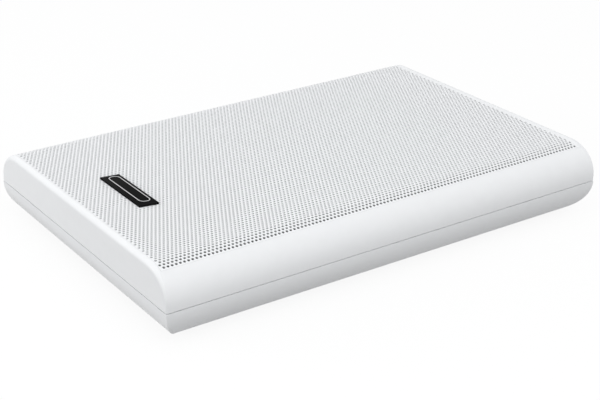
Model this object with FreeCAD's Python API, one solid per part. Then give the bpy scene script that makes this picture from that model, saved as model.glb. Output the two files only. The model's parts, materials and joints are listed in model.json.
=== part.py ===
import FreeCAD, Part
import math
import os

# Flat wall speaker, lying on its back: +Z points out of the grille and +Y to its top when hung.
# The origin is the middle of the back face. All sizes are in millimetres.

# Case
WIDTH = 196.0
LENGTH = 300.0
WALL = 2.5
BACK_RADIUS = 21.5  # quarter round from the flat back up to the seam, on all four sides
REAR_LAND = 0.5  # straight strip of the rear cover under the seam
SEAM_GAP = 0.5  # open line between the two covers
SIDE_LAND = 2.5  # straight strip of the front cover above the seam
SIDE_RADIUS = 19.0  # round long sides of the front cover
END_FILLET = 3.0  # edge between the flat ends and the front face
CORNER_FILLET = 0.8  # the same edge where it runs down to the seam
TONGUE_HEIGHT = 2.0  # lip of the rear cover that locates the front cover
TONGUE_THICKNESS = 1.2
FIT = 0.1  # clearance between neighbouring pieces
RIB_THICKNESS = 1.8
RIB_HEIGHT = 5.0
RIB_INSET = 44.0  # from the long sides to the stiffening ribs

# Grille, a bent steel sheet set flush in the front cover
GRILLE_SIDE_INSET = 9.8
GRILLE_END_INSET = 3.15
GRILLE_SHEET = 0.5
RECESS_DEPTH = 5.5  # from the front face to the baffle
BAFFLE = 2.5
CLOTH = 0.4
# The perforation is drawn coarse here: the open share of the sheet is the real one
HOLE_PITCH = 20.4
HOLE_SHARE = 0.6  # hole width over pitch
FIELD_MARGIN = 7.0  # from the grille's ends, and from its bent sides, to the first holes

# Badge
BADGE_WIDTH = 46.0
BADGE_HEIGHT = 11.5
BADGE_THICKNESS = 1.1
BADGE_SLANT = 1.7  # how far its upper edge stands to the right of its lower edge
BADGE_CORNER = 1.0
BADGE_END_INSET = 34.0  # from the lower end of the case to the badge's middle

# Driver, fixed under the baffle
DRIVER_Y = 28.0
SIDES = 32  # facets of its round pieces, which are out of sight
GASKET = 0.6
FLANGE_RADIUS = 65.0
FRAME_SHEET = 1.2
BASKET_DEPTH = 16.6
RIM_RADIUS = 56.0  # inside edge of the flange
SHELF_RADIUS = 41.0  # outside edge of the spider's shelf
SHELF_WIDTH = 5.0
SHELF_DEPTH = 11.4  # from the flange's face to the shelf
FLOOR_RADIUS = 33.0
BAFFLE_HOLE_RADIUS = 58.0
WINDOW_COUNT = 6
WINDOW_ANGLE = 40.0
WINDOW_MARGIN = 2.5
SCREW_CIRCLE_RADIUS = 62.5
DRIVER_SCREW_COUNT = 4
SCREW_SKIN = 0.75  # baffle left in front of the driver screws

POLE_RADIUS = 12.15
COIL_GAP = 0.4
COIL_THICKNESS = 0.6
PLATE_RADIUS = 33.0
PLATE_THICKNESS = 3.0
MAGNET_RADIUS = 35.0
MAGNET_BORE_RADIUS = 16.0
BACK_PLATE_THICKNESS = 3.5
MAGNET_CLEARANCE = 1.5  # between the magnet system and the rear cover
COIL_CLEARANCE = 4.5  # under the coil at rest, more than its travel

PAPER = 0.6
CONE_RADIUS = 48.4
CONE_LAND = 3.0
NECK_DEPTH = 9.4  # from the flange's face to the cone's neck
ROLL_HEIGHT = 2.4
ROLL_SHOULDER = 1.8
RUBBER = 0.5
WHIZZER_RADIUS = 25.0
WHIZZER_RISE = 8.0
CAP_RISE = 3.6
SPIDER_SHEET = 0.5
SPIDER_WAVE = 1.6

TAG_STRIP_WIDTH = 20.0
TAG_STRIP_HEIGHT = 4.0
TAG_STRIP_SHEET = 1.2
TAG_SPACING = 10.0
TAG_WIDTH = 4.0
TAG_DROP = 8.0  # how far the tags hang below their strip
TAG_SHEET = 0.6
LEAD_RADIUS = 0.5
LEAD_INSET = 9.0  # from the cone's rim inwards to where a lead leaves the cone

# Cover screws
COVER_SCREW_SIDE_INSET = 28.0
COVER_SCREW_END_INSET = 30.0
POST_RADIUS = 5.5
POST_HEIGHT = 12.0
BOSS_RADIUS = 4.0
SHANK_RADIUS = 1.75
HEAD_RADIUS = 3.5
HEAD_HEIGHT = 2.2
HEAD_SINK = 2.4  # from the back face to the screw heads
COVER_SCREW_GRIP = 14.0  # length of screw in the front cover's bosses

# Hanging slots
KEYHOLE_SPACING = 100.0
KEYHOLE_END_INSET = 48.0
KEYHOLE_HEAD_RADIUS = 4.5
KEYHOLE_SLOT_RADIUS = 2.3
KEYHOLE_TRAVEL = 9.0
KEYHOLE_ROOM = 6.0  # depth behind the wall for a screw head
KEYHOLE_SIDE_ROOM = 2.0
HOOD_WALL = 1.5

# Terminal recess
TERMINAL_DROP = 123.0  # from the driver's axis down to the terminal
RECESS_WIDTH = 62.0
RECESS_HEIGHT = 36.0
RECESS_ROOM = 16.0
BLOCK_WIDTH = 44.0
BLOCK_HEIGHT = 14.0
BLOCK_THICKNESS = 9.0
CLAMP_SPACING = 16.0
WIRE_ENTRY_RADIUS = 2.0
SMALL_SHANK_RADIUS = 1.4
SMALL_HEAD_RADIUS = 2.6
SMALL_HEAD_HEIGHT = 1.6
LUG_WIDTH = 5.0
LUG_SHEET = 0.8
WIRE_RADIUS = 0.9
WIRE_SPREAD = 9.0  # how far the hook-up wires bow out on their way
WIRE_LEAD = 14.0  # from each end of a wire to its first bend
BEND_STEPS = 5  # points along each bend of a wire

# Heights worked out from the sizes above
SEAM_Z = BACK_RADIUS + REAR_LAND
FRONT_RIM_Z = SEAM_Z + SEAM_GAP
TONGUE_TOP = SEAM_Z + TONGUE_HEIGHT
TURN_Z = FRONT_RIM_Z + SIDE_LAND
DEPTH = TURN_Z + SIDE_RADIUS
BAFFLE_TOP = DEPTH - RECESS_DEPTH
BAFFLE_BOTTOM = BAFFLE_TOP - BAFFLE
FLANGE_TOP = BAFFLE_BOTTOM - GASKET
FLANGE_BOTTOM = FLANGE_TOP - FRAME_SHEET
SHELF_TOP = FLANGE_TOP - SHELF_DEPTH
PLATE_TOP = FLANGE_TOP - BASKET_DEPTH
PLATE_BOTTOM = PLATE_TOP - PLATE_THICKNESS
BACK_PLATE_BOTTOM = WALL + MAGNET_CLEARANCE
BACK_PLATE_TOP = BACK_PLATE_BOTTOM + BACK_PLATE_THICKNESS
NECK_Z = FLANGE_TOP - NECK_DEPTH
RECESS_TOP = RECESS_ROOM + WALL
BLOCK_FACE_Z = RECESS_ROOM - BLOCK_THICKNESS
TAG_BOTTOM = FLANGE_BOTTOM - TAG_STRIP_HEIGHT - TAG_DROP
WIRE_Z = TAG_BOTTOM + TAG_WIDTH / 2
LUG_TOP = WIRE_Z + LUG_WIDTH / 2

# Plan sizes worked out from the sizes above
GRILLE_HALF_X = WIDTH / 2 - GRILLE_SIDE_INSET
GRILLE_HALF_Y = LENGTH / 2 - GRILLE_END_INSET
FLAT_HALF_X = WIDTH / 2 - SIDE_RADIUS
BADGE_Y = BADGE_END_INSET - LENGTH / 2
COIL_INNER = POLE_RADIUS + COIL_GAP
COIL_OUTER = COIL_INNER + COIL_THICKNESS
TERMINAL_Y = DRIVER_Y - TERMINAL_DROP
KEYHOLE_Y = LENGTH / 2 - KEYHOLE_END_INSET
COVER_SCREW_X = WIDTH / 2 - COVER_SCREW_SIDE_INSET
COVER_SCREW_Y = LENGTH / 2 - COVER_SCREW_END_INSET
TAG_STRIP_Y = DRIVER_Y - SCREW_CIRCLE_RADIUS
OVERSHOOT = 5.0  # how far cutting tools run past what they cut

Vector = FreeCAD.Vector
UP = Vector(0, 0, 1)


# Building blocks

def box(low, high):
    size = [b - a for a, b in zip(low, high)]
    return Part.makeBox(*size, Vector(*low))


def centred_box(half_x, half_y, bottom, top):
    return box((-half_x, -half_y, bottom), (half_x, half_y, top))


def cylinder(radius, bottom, top, x=0.0, y=0.0):
    return Part.makeCylinder(radius, top - bottom, Vector(x, y, bottom), UP)


def line(start, end):
    return Part.LineSegment(start, end).toShape()


def arc(start, middle, end):
    return Part.Arc(start, middle, end).toShape()


def extrude_along_y(face, half_length):
    solid = face.extrude(Vector(0, 2 * half_length, 0))
    solid.translate(Vector(0, -half_length, 0))
    return solid


def around(radius, height):
    """Corners of a many-sided ring about the driver's axis, or its one point on the axis."""
    if radius == 0:
        return [Vector(0, DRIVER_Y, height)] * SIDES
    turns = [2 * math.pi * number / SIDES for number in range(SIDES)]
    return [
        Vector(radius * math.cos(turn), DRIVER_Y + radius * math.sin(turn), height) for turn in turns
    ]


def turned(profile):
    """Many-sided solid about the driver's axis, from a closed outline of (radius, height) points."""
    rings = [around(radius, height) for radius, height in profile]
    faces = []
    for below, above in zip(rings, rings[1:] + rings[:1]):
        for number in range(SIDES):
            after = (number + 1) % SIDES
            corners = []
            for corner in (below[number], below[after], above[after], above[number]):
                if corner not in corners:
                    corners.append(corner)
            if len(corners) > 2:
                faces.append(Part.Face(Part.makePolygon(corners + corners[:1])))
    shell = Part.makeShell(faces)
    shell.sewShape()
    solid = Part.makeSolid(shell)
    if solid.Volume < 0:
        solid.reverse()
    return solid.removeSplitter()


def ring(inner, outer, bottom, top):
    return turned([(inner, bottom), (outer, bottom), (outer, top), (inner, top)])


def skin(upper, thickness):
    """Closed profile of a sheet under a line of (radius, height) points."""
    lower = [(radius, height - thickness) for radius, height in upper]
    return upper + lower[::-1]


def joined(solids):
    return solids[0].fuse(solids[1:]).removeSplitter()


def rounded_route(points, bend):
    """Points of a route with an arc of one radius at each inner corner."""
    route = [points[0]]
    for before, corner, after in zip(points, points[1:], points[2:]):
        inward = (before - corner).normalize()
        outward = (after - corner).normalize()
        half_turn = inward.getAngle(outward) / 2
        reach = bend / math.tan(half_turn)
        middle_way = (inward + outward).normalize()
        middle = corner + middle_way * (bend / math.sin(half_turn) - bend)
        turn = arc(corner + inward * reach, middle, corner + outward * reach)
        route += turn.discretize(BEND_STEPS)
    return route + [points[-1]]


def tube(points, radius, bend, side):
    """Six-sided wire along a route that lies in a plane; side is square to that plane."""
    route = rounded_route(points, bend)
    sections = []
    for number, point in enumerate(route):
        ahead = route[min(number + 1, len(route) - 1)] - route[max(number - 1, 0)]
        across = side.cross(ahead).normalize()
        turns = [math.pi / 3 * corner for corner in range(6)]
        corners = [point + side * (radius * math.cos(t)) + across * (radius * math.sin(t)) for t in turns]
        sections.append(Part.makePolygon(corners + corners[:1]))
    return Part.makeLoft(sections, True, True)


# Case forms

def front_section(inset, bottom):
    """Cross-section of the front cover's outside, moved in by inset."""
    half = WIDTH / 2 - inset
    radius = SIDE_RADIUS - inset
    top = TURN_Z + radius
    bend = radius * math.sqrt(0.5)
    left_turn = Vector(-FLAT_HALF_X - bend, 0, TURN_Z + bend)
    right_turn = Vector(FLAT_HALF_X + bend, 0, TURN_Z + bend)
    corners = [
        Vector(-half, 0, bottom), Vector(-half, 0, TURN_Z), Vector(-FLAT_HALF_X, 0, top),
        Vector(FLAT_HALF_X, 0, top), Vector(half, 0, TURN_Z), Vector(half, 0, bottom),
    ]
    edges = [
        line(corners[0], corners[1]),
        arc(corners[1], left_turn, corners[2]),
        line(corners[2], corners[3]),
        arc(corners[3], right_turn, corners[4]),
        line(corners[4], corners[5]),
        line(corners[5], corners[0]),
    ]
    return Part.Face(Part.Wire(edges))


def front_form():
    """Outside of the front cover, with end edges that sharpen as they run down to the seam."""
    plain = extrude_along_y(front_section(0, FRONT_RIM_Z), LENGTH / 2)
    document = FreeCAD.newDocument()
    base = document.addObject("Part::Feature", "Base")
    base.Shape = plain
    rounded = document.addObject("Part::Fillet", "Rounded")
    rounded.Base = base
    rounded.Edges = end_edge_radii(plain)
    document.recompute()
    return rounded.Shape.copy()


def end_edge_radii(solid):
    rows = []
    for number, edge in enumerate(solid.Edges, 1):
        middle = edge.CenterOfMass
        on_end = abs(abs(middle.y) - LENGTH / 2) < FIT
        if not on_end or middle.z < FRONT_RIM_Z + FIT:
            continue
        heights = [edge.valueAt(edge.FirstParameter).z, edge.valueAt(edge.LastParameter).z]
        radii = [END_FILLET if height > DEPTH - FIT else CORNER_FILLET for height in heights]
        rows.append((number, radii[0], radii[1]))
    return rows


def back_section(half_width, inset, top):
    """Cross-section of the rear cover's outside, moved in by inset."""
    half = half_width - inset
    flat = half_width - BACK_RADIUS
    radius = BACK_RADIUS - inset
    bend = radius * math.sqrt(0.5)
    corners = [
        Vector(-half, 0, top), Vector(-half, 0, BACK_RADIUS), Vector(-flat, 0, inset),
        Vector(flat, 0, inset), Vector(half, 0, BACK_RADIUS), Vector(half, 0, top),
    ]
    edges = [
        line(corners[0], corners[1]),
        arc(corners[1], Vector(-flat - bend, 0, BACK_RADIUS - bend), corners[2]),
        line(corners[2], corners[3]),
        arc(corners[3], Vector(flat + bend, 0, BACK_RADIUS - bend), corners[4]),
        line(corners[4], corners[5]),
        line(corners[5], corners[0]),
    ]
    return Part.Face(Part.Wire(edges))


def back_form(inset, top):
    """Tray form: the same quarter round on all four sides, mitred at the corners."""
    along = extrude_along_y(back_section(WIDTH / 2, inset, top), LENGTH / 2 + OVERSHOOT)
    across = extrude_along_y(back_section(LENGTH / 2, inset, top), WIDTH / 2 + OVERSHOOT)
    across.rotate(Vector(0, 0, 0), UP, 90)
    return along.common(across)


def cover_screw_places():
    return [(x, y) for x in (-COVER_SCREW_X, COVER_SCREW_X) for y in (-COVER_SCREW_Y, COVER_SCREW_Y)]


def driver_screw_places():
    turns = [360 / DRIVER_SCREW_COUNT * (number + 0.5) for number in range(DRIVER_SCREW_COUNT)]
    reach = SCREW_CIRCLE_RADIUS
    return [
        (reach * math.cos(math.radians(turn)), DRIVER_Y + reach * math.sin(math.radians(turn)))
        for turn in turns
    ]


def rib_places():
    return [side * (WIDTH / 2 - RIB_INSET) for side in (-1, 1)]


# Covers

def front_cover():
    inside = extrude_along_y(front_section(WALL, FRONT_RIM_Z - OVERSHOOT), LENGTH / 2 - WALL)
    under_baffle = centred_box(WIDTH, LENGTH, 0, BAFFLE_BOTTOM)
    rebate_gap = WALL - TONGUE_THICKNESS - FIT
    cutters = [
        inside.common(under_baffle),
        centred_box(WIDTH / 2 - rebate_gap, LENGTH / 2 - rebate_gap, 0, TONGUE_TOP),
        centred_box(GRILLE_HALF_X + FIT, GRILLE_HALF_Y + FIT, BAFFLE_TOP, DEPTH + OVERSHOOT),
        cylinder(BAFFLE_HOLE_RADIUS, 0, DEPTH, 0, DRIVER_Y),
    ]
    for x, y in driver_screw_places():
        cutters.append(cylinder(SHANK_RADIUS + FIT, 0, BAFFLE_TOP - SCREW_SKIN, x, y))
    shell = front_form().cut(cutters)
    bosses = [cylinder(BOSS_RADIUS, POST_HEIGHT, BAFFLE_BOTTOM, x, y) for x, y in cover_screw_places()]
    pilots = [
        cylinder(SHANK_RADIUS + FIT, 0, POST_HEIGHT + COVER_SCREW_GRIP + FIT, x, y)
        for x, y in cover_screw_places()
    ]
    return joined([shell] + bosses).cut(pilots)


def keyhole_cut(x):
    entry = cylinder(KEYHOLE_HEAD_RADIUS, -OVERSHOOT, WALL + FIT, x, KEYHOLE_Y)
    top = cylinder(KEYHOLE_SLOT_RADIUS, -OVERSHOOT, WALL + FIT, x, KEYHOLE_Y + KEYHOLE_TRAVEL)
    slot = box(
        (x - KEYHOLE_SLOT_RADIUS, KEYHOLE_Y, -OVERSHOOT),
        (x + KEYHOLE_SLOT_RADIUS, KEYHOLE_Y + KEYHOLE_TRAVEL, WALL + FIT),
    )
    return joined([entry, top, slot])


def keyhole_room(x, wall):
    """Space behind a keyhole for the screw's head, grown by a wall."""
    half = KEYHOLE_HEAD_RADIUS + KEYHOLE_SIDE_ROOM + wall
    top = WALL + KEYHOLE_ROOM + wall
    return box((x - half, KEYHOLE_Y - half, WALL), (x + half, KEYHOLE_Y + KEYHOLE_TRAVEL + half, top))


def terminal_room(wall):
    half_x = RECESS_WIDTH / 2 + wall
    half_y = RECESS_HEIGHT / 2 + wall
    return box((-half_x, TERMINAL_Y - half_y, -wall), (half_x, TERMINAL_Y + half_y, RECESS_ROOM + wall))


def rear_cover():
    shell = back_form(0, SEAM_Z).cut(back_form(WALL, SEAM_Z + OVERSHOOT))
    lip = TONGUE_THICKNESS - WALL
    tongue = centred_box(WIDTH / 2 + lip, LENGTH / 2 + lip, SEAM_Z, TONGUE_TOP)
    tongue = tongue.cut(centred_box(WIDTH / 2 - WALL, LENGTH / 2 - WALL, 0, DEPTH))
    keyholes = (-KEYHOLE_SPACING / 2, KEYHOLE_SPACING / 2)
    added = [tongue]
    for x, y in cover_screw_places():
        added.append(cylinder(POST_RADIUS, WALL / 2, POST_HEIGHT, x, y))
    for x in keyholes:
        added.append(keyhole_room(x, HOOD_WALL))
    for x in rib_places():
        added.append(box(
            (x - RIB_THICKNESS / 2, TERMINAL_Y, WALL / 2),
            (x + RIB_THICKNESS / 2, KEYHOLE_Y - KEYHOLE_HEAD_RADIUS, WALL + RIB_HEIGHT),
        ))
    added.append(terminal_room(WALL).common(centred_box(WIDTH, LENGTH, WALL / 2, DEPTH)))
    cutters = [keyhole_cut(x) for x in keyholes]
    cutters += [keyhole_room(x, 0) for x in keyholes]
    cutters.append(terminal_room(0).fuse(terminal_room(0).translated(Vector(0, 0, -OVERSHOOT))))
    for x, y in cover_screw_places():
        cutters.append(cylinder(SHANK_RADIUS + FIT, -OVERSHOOT, POST_HEIGHT + OVERSHOOT, x, y))
        cutters.append(cylinder(HEAD_RADIUS + FIT, -OVERSHOOT, HEAD_SINK + HEAD_HEIGHT, x, y))
    for x in clamp_places():
        cutters.append(lug_box(x, RECESS_ROOM - FIT, RECESS_TOP + FIT, FIT))
    return joined([shell] + added).cut(cutters)


def cover_screws():
    screws = []
    for x, y in cover_screw_places():
        head_top = HEAD_SINK + HEAD_HEIGHT
        head = cylinder(HEAD_RADIUS, HEAD_SINK, head_top, x, y)
        shank = cylinder(SHANK_RADIUS, head_top, POST_HEIGHT + COVER_SCREW_GRIP, x, y)
        screws.append(joined([head, shank]))
    return Part.makeCompound(screws)


# Grille, cloth and badge

def pan(outer_inset, half_x, half_y, bottom):
    """Solid under the front face, moved in by an inset and cut to a rectangle."""
    under_face = extrude_along_y(front_section(outer_inset, FRONT_RIM_Z), half_y)
    return under_face.common(centred_box(half_x, half_y + OVERSHOOT, bottom, DEPTH))


def hexagon(x, y, radius, bottom, top):
    corners = [
        Vector(x + radius * math.cos(turn * math.pi / 3), y + radius * math.sin(turn * math.pi / 3), bottom)
        for turn in range(6)
    ]
    return Part.Face(Part.makePolygon(corners + corners[:1])).extrude(Vector(0, 0, top - bottom))


def under_badge(x, y, radius):
    near_x = abs(x) < (BADGE_WIDTH + BADGE_SLANT) / 2 + radius
    near_y = abs(y - BADGE_Y) < BADGE_HEIGHT / 2 + radius
    return near_x and near_y


def hole_places():
    """Staggered rows, centred on the flat part of the grille and kept clear of the badge."""
    row_step = HOLE_PITCH * math.sqrt(3) / 2
    rows = int((FLAT_HALF_X - FIELD_MARGIN) / row_step)
    reach = GRILLE_HALF_Y - FIELD_MARGIN
    radius = HOLE_PITCH * HOLE_SHARE / 2
    places = []
    for row in range(-rows, rows + 1):
        shift = HOLE_PITCH / 2 * (row % 2)
        columns = int(2 * reach / HOLE_PITCH) + 1
        for column in range(-columns, columns + 1):
            x = row * row_step
            y = column * HOLE_PITCH + shift
            if abs(y) + radius <= reach and not under_badge(x, y, radius):
                places.append((x, y))
    return places


def grille():
    """Perforated sheet that stands on the baffle with its bent long edges."""
    sheet = pan(0, GRILLE_HALF_X, GRILLE_HALF_Y, BAFFLE_TOP)
    inside = pan(GRILLE_SHEET, GRILLE_HALF_X - GRILLE_SHEET, GRILLE_HALF_Y + OVERSHOOT, 0)
    radius = HOLE_PITCH * HOLE_SHARE / 2
    holes = [hexagon(x, y, radius, BAFFLE_TOP, DEPTH + OVERSHOOT) for x, y in hole_places()]
    return sheet.cut(inside).cut(Part.makeCompound(holes))


def grille_cloth():
    inset = GRILLE_SHEET + FIT
    sheet = pan(inset, GRILLE_HALF_X - inset, GRILLE_HALF_Y - inset, BAFFLE_TOP)
    return sheet.cut(pan(inset + CLOTH, GRILLE_HALF_X, GRILLE_HALF_Y, 0))


def badge():
    """Plate with slanted ends."""
    corners = []
    for side_x, side_y in ((-1, -1), (1, -1), (1, 1), (-1, 1)):
        x = side_x * BADGE_WIDTH / 2 + side_y * BADGE_SLANT / 2
        corners.append(Vector(x, BADGE_Y + side_y * BADGE_HEIGHT / 2, DEPTH))
    plate = Part.Face(Part.makePolygon(corners + corners[:1])).extrude(UP * BADGE_THICKNESS)
    upright = [edge for edge in plate.Edges if abs(edge.tangentAt(edge.FirstParameter).z) > 0.5]
    return plate.makeFillet(BADGE_CORNER, upright)


# Driver

def driver_frame():
    outer = [
        (FLANGE_RADIUS, FLANGE_TOP), (FLANGE_RADIUS, FLANGE_BOTTOM), (RIM_RADIUS, FLANGE_BOTTOM),
        (SHELF_RADIUS, SHELF_TOP - FRAME_SHEET), (SHELF_RADIUS - SHELF_WIDTH, SHELF_TOP - FRAME_SHEET),
        (FLOOR_RADIUS, PLATE_TOP), (POLE_RADIUS + MAGNET_CLEARANCE, PLATE_TOP),
    ]
    inner = [
        (POLE_RADIUS + MAGNET_CLEARANCE, PLATE_TOP + FRAME_SHEET),
        (FLOOR_RADIUS - FRAME_SHEET, PLATE_TOP + FRAME_SHEET),
        (SHELF_RADIUS - SHELF_WIDTH - FRAME_SHEET, SHELF_TOP), (SHELF_RADIUS - FRAME_SHEET, SHELF_TOP),
        (RIM_RADIUS - FRAME_SHEET, FLANGE_TOP),
    ]
    windows = []
    for number in range(WINDOW_COUNT):
        wedge = Part.makeCylinder(
            RIM_RADIUS - WINDOW_MARGIN, FLANGE_BOTTOM - SHELF_TOP, Vector(0, 0, SHELF_TOP), UP, WINDOW_ANGLE)
        wedge = wedge.cut(cylinder(SHELF_RADIUS + WINDOW_MARGIN, 0, DEPTH))
        wedge.rotate(Vector(0, 0, 0), UP, 360 / WINDOW_COUNT * number - 90 - WINDOW_ANGLE / 2)
        windows.append(wedge.translated(Vector(0, DRIVER_Y, 0)))
    holes = [cylinder(SHANK_RADIUS + FIT, 0, DEPTH, x, y) for x, y in driver_screw_places()]
    return turned(outer + inner).cut(windows + holes)


def driver_gasket():
    """Rubber ring inside the circle of screws."""
    outer = SCREW_CIRCLE_RADIUS - SHANK_RADIUS - FIT
    return ring(BAFFLE_HOLE_RADIUS + FIT, outer, FLANGE_TOP, BAFFLE_BOTTOM)


def driver_screws():
    screws = []
    for x, y in driver_screw_places():
        head = cylinder(HEAD_RADIUS, FLANGE_BOTTOM - HEAD_HEIGHT, FLANGE_BOTTOM, x, y)
        shank = cylinder(SHANK_RADIUS, FLANGE_BOTTOM, BAFFLE_TOP - SCREW_SKIN - FIT, x, y)
        screws.append(joined([head, shank]))
    return Part.makeCompound(screws)


def top_plate():
    return ring(COIL_OUTER + COIL_GAP, PLATE_RADIUS, PLATE_BOTTOM, PLATE_TOP)


def magnet():
    return ring(MAGNET_BORE_RADIUS, MAGNET_RADIUS, BACK_PLATE_TOP, PLATE_BOTTOM)


def back_plate():
    return turned([
        (0, BACK_PLATE_BOTTOM), (PLATE_RADIUS, BACK_PLATE_BOTTOM), (PLATE_RADIUS, BACK_PLATE_TOP),
        (POLE_RADIUS, BACK_PLATE_TOP), (POLE_RADIUS, PLATE_TOP), (0, PLATE_TOP),
    ])


def voice_coil():
    return ring(COIL_INNER, COIL_OUTER, BACK_PLATE_TOP + COIL_CLEARANCE, NECK_Z)


def cone_height(radius):
    """Height of the cone's upper side at a radius between its neck and its land."""
    neck_top = NECK_Z + PAPER
    slope = (FLANGE_TOP - FIT - neck_top) / (CONE_RADIUS - CONE_LAND - COIL_INNER)
    return neck_top + (radius - COIL_INNER) * slope


def cone():
    upper = [
        (COIL_INNER, NECK_Z + PAPER), (CONE_RADIUS - CONE_LAND, FLANGE_TOP - FIT),
        (CONE_RADIUS, FLANGE_TOP - FIT),
    ]
    return turned(skin(upper, PAPER))


def surround():
    inner = CONE_RADIUS
    outer = RIM_RADIUS - FRAME_SHEET
    top = FLANGE_TOP + RUBBER
    upper = [
        (CONE_RADIUS - CONE_LAND, top), (inner, top), (inner + ROLL_SHOULDER, top + ROLL_HEIGHT),
        (outer - ROLL_SHOULDER, top + ROLL_HEIGHT), (outer, top), (BAFFLE_HOLE_RADIUS - FIT, top),
    ]
    return turned(skin(upper, RUBBER))


def whizzer_cone():
    base = COIL_OUTER + PAPER
    foot = cone_height(base) + FIT
    return turned(skin([(base, foot + PAPER), (WHIZZER_RADIUS, foot + WHIZZER_RISE)], PAPER))


def dust_cap():
    foot = NECK_Z + PAPER + FIT
    rim = COIL_INNER
    upper = [(0, foot + PAPER + CAP_RISE), (rim / 2, foot + PAPER + CAP_RISE * 3 / 4), (rim, foot + PAPER)]
    return turned(skin(upper, PAPER))


def spider():
    inner = COIL_OUTER + FIT
    land = SHELF_RADIUS - SHELF_WIDTH - FRAME_SHEET - FIT
    outer = SHELF_RADIUS - FRAME_SHEET - FIT
    top = SHELF_TOP + SPIDER_SHEET
    upper = [
        (inner, top), ((2 * inner + land) / 3, top + SPIDER_WAVE), ((inner + 2 * land) / 3, top - SPIDER_WAVE),
        (land, top), (outer - SPIDER_SHEET, top),
    ]
    return turned(skin(upper, SPIDER_SHEET))


def tag_places():
    return (-TAG_SPACING / 2, TAG_SPACING / 2)


def tag_strip():
    half = TAG_STRIP_WIDTH / 2
    return box(
        (-half, TAG_STRIP_Y - TAG_STRIP_SHEET, FLANGE_BOTTOM - TAG_STRIP_HEIGHT),
        (half, TAG_STRIP_Y, FLANGE_BOTTOM),
    )


def solder_tags():
    back = TAG_STRIP_Y - TAG_STRIP_SHEET
    tags = [
        box((x - TAG_WIDTH / 2, back - TAG_SHEET, TAG_BOTTOM),
            (x + TAG_WIDTH / 2, back, FLANGE_BOTTOM - TAG_WIDTH / 2))
        for x in tag_places()
    ]
    return Part.makeCompound(tags)


def tinsel_leads():
    leads = []
    end_z = FLANGE_BOTTOM - TAG_STRIP_HEIGHT - TAG_WIDTH / 2
    start_radius = CONE_RADIUS - LEAD_INSET
    start_z = cone_height(start_radius - LEAD_RADIUS) - PAPER - FIT
    for x in tag_places():
        points = [
            Vector(x, DRIVER_Y - start_radius, start_z),
            Vector(x, DRIVER_Y - start_radius, end_z),
            Vector(x, TAG_STRIP_Y - TAG_STRIP_SHEET, end_z),
        ]
        leads.append(tube(points, LEAD_RADIUS, (start_z - end_z) / 2, Vector(1, 0, 0)))
    return Part.makeCompound(leads)


# Terminal and wiring

def clamp_places():
    return (-CLAMP_SPACING / 2, CLAMP_SPACING / 2)


def terminal_block():
    half_x = BLOCK_WIDTH / 2
    half_y = BLOCK_HEIGHT / 2
    block = box((-half_x, TERMINAL_Y - half_y, BLOCK_FACE_Z), (half_x, TERMINAL_Y + half_y, RECESS_ROOM))
    cutters = []
    for x in clamp_places():
        entry_z = (BLOCK_FACE_Z + RECESS_ROOM) / 2
        entry = Part.makeCylinder(
            WIRE_ENTRY_RADIUS, half_y, Vector(x, TERMINAL_Y - half_y, entry_z), Vector(0, 1, 0))
        cutters.append(entry)
        cutters.append(cylinder(SMALL_SHANK_RADIUS + FIT, 0, entry_z, x, TERMINAL_Y - half_y / 2))
        cutters.append(lug_box(x, RECESS_ROOM - WALL, RECESS_TOP, FIT))
    return block.cut(cutters)


def terminal_screws():
    screws = []
    for x in clamp_places():
        y = TERMINAL_Y - BLOCK_HEIGHT / 4
        entry_z = (BLOCK_FACE_Z + RECESS_ROOM) / 2
        head = cylinder(SMALL_HEAD_RADIUS, BLOCK_FACE_Z - SMALL_HEAD_HEIGHT, BLOCK_FACE_Z, x, y)
        shank = cylinder(SMALL_SHANK_RADIUS, BLOCK_FACE_Z, entry_z, x, y)
        screws.append(joined([head, shank]))
    return Part.makeCompound(screws)


def lug_box(x, bottom, top, room):
    half_x = LUG_WIDTH / 2 + room
    half_y = LUG_SHEET / 2 + room
    y = TERMINAL_Y + BLOCK_HEIGHT / 4
    return box((x - half_x, y - half_y, bottom), (x + half_x, y + half_y, top))


def terminal_lugs():
    return Part.makeCompound([lug_box(x, RECESS_ROOM - WALL, LUG_TOP, 0) for x in clamp_places()])


def hookup_wire(side):
    """Insulated wire from a terminal lug to a solder tag, with a slack bend on its way."""
    start_y = TERMINAL_Y + BLOCK_HEIGHT / 4 + LUG_SHEET / 2
    end_y = TAG_STRIP_Y - TAG_STRIP_SHEET - TAG_SHEET
    start_x = side * CLAMP_SPACING / 2
    end_x = side * TAG_SPACING / 2
    bow = start_x + side * WIRE_SPREAD
    points = [
        Vector(start_x, start_y, WIRE_Z),
        Vector(start_x, start_y + WIRE_LEAD, WIRE_Z),
        Vector(bow, (start_y + end_y) / 2, WIRE_Z),
        Vector(end_x, end_y - WIRE_LEAD, WIRE_Z),
        Vector(end_x, end_y, WIRE_Z),
    ]
    return tube(points, WIRE_RADIUS, WIRE_LEAD, UP)


def wire_positive():
    return hookup_wire(1)


def wire_negative():
    return hookup_wire(-1)


NODES = [
    front_cover, rear_cover, cover_screws, grille, grille_cloth, badge,
    driver_frame, driver_gasket, driver_screws, top_plate, magnet, back_plate,
    voice_coil, cone, whizzer_cone, dust_cap, surround, spider,
    tag_strip, solder_tags, tinsel_leads,
    terminal_block, terminal_screws, terminal_lugs, wire_positive, wire_negative,
]

os.makedirs("parts", exist_ok=True)
for make in NODES:
    make().exportStep("parts/" + make.__name__ + ".step")
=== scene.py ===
import json
import math

import bmesh
import bpy
from mathutils import Matrix, Vector


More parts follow.
